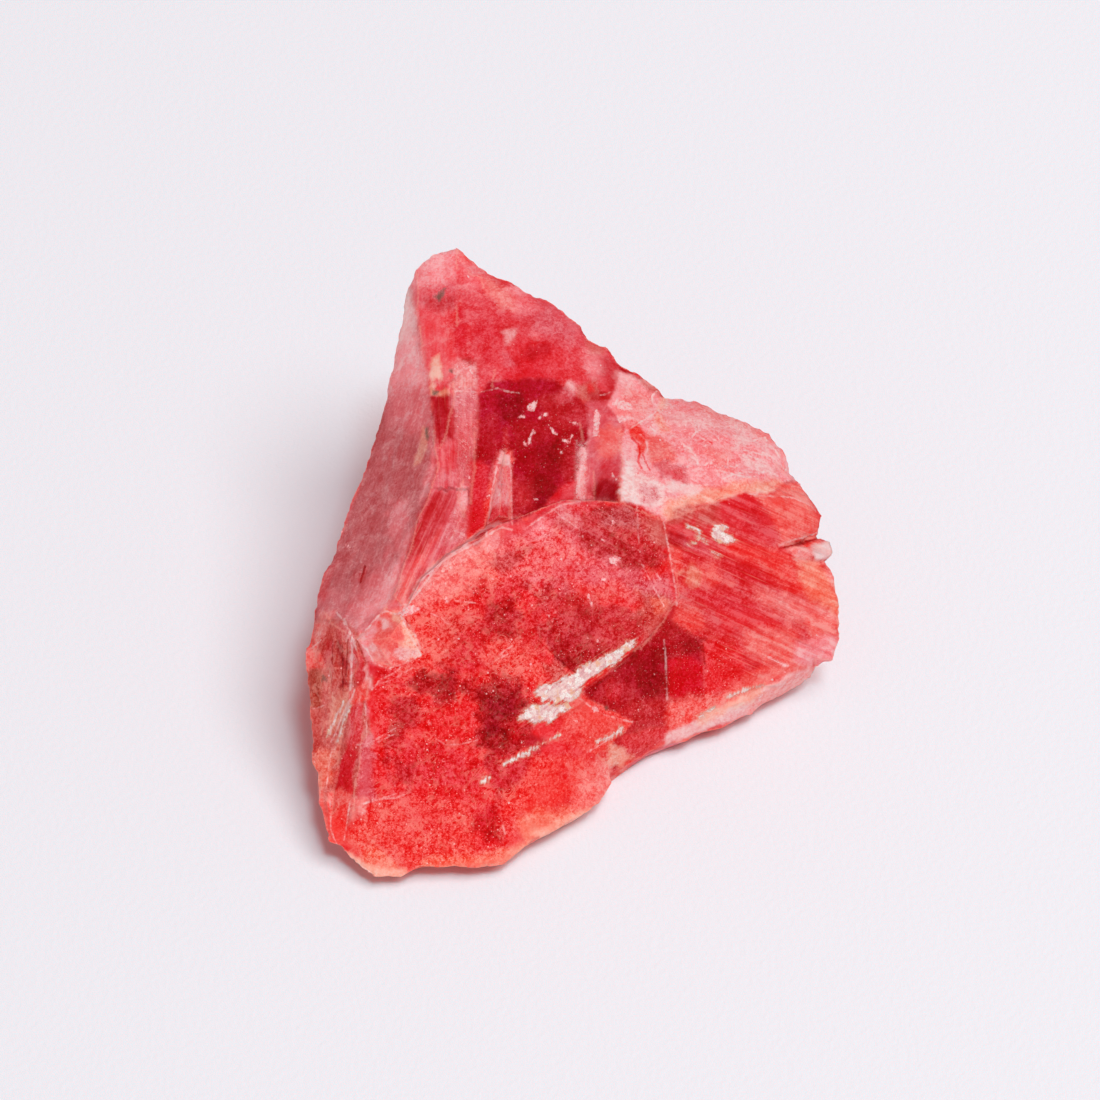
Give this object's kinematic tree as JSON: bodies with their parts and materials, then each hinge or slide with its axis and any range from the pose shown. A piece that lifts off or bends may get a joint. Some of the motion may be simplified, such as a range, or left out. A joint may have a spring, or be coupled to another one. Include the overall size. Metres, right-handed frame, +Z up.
{
  "type": "rough rhodonite crystal",
  "caption": "Broken gem-grade piece of rhodonite with a sloping front, a striated flank, a steep frosted cleavage, a hollow top with a fin, and a flat cleavage it rests on.",
  "frame": {"origin": "middle of the stone's outline seen from above, in the plane of the flat cleavage that it rests on", "axes": "+Z up, +Y from the low front edge to the peak at the back, +X to the right"},
  "size_m": [0.0344, 0.038, 0.0199],
  "materials": {
    "rhodonite": "translucent vitreous to frosted rose red"
  },
  "bodies": {
    "root": {"rhodonite": "rhodonite"}
  },
  "joints": []
}
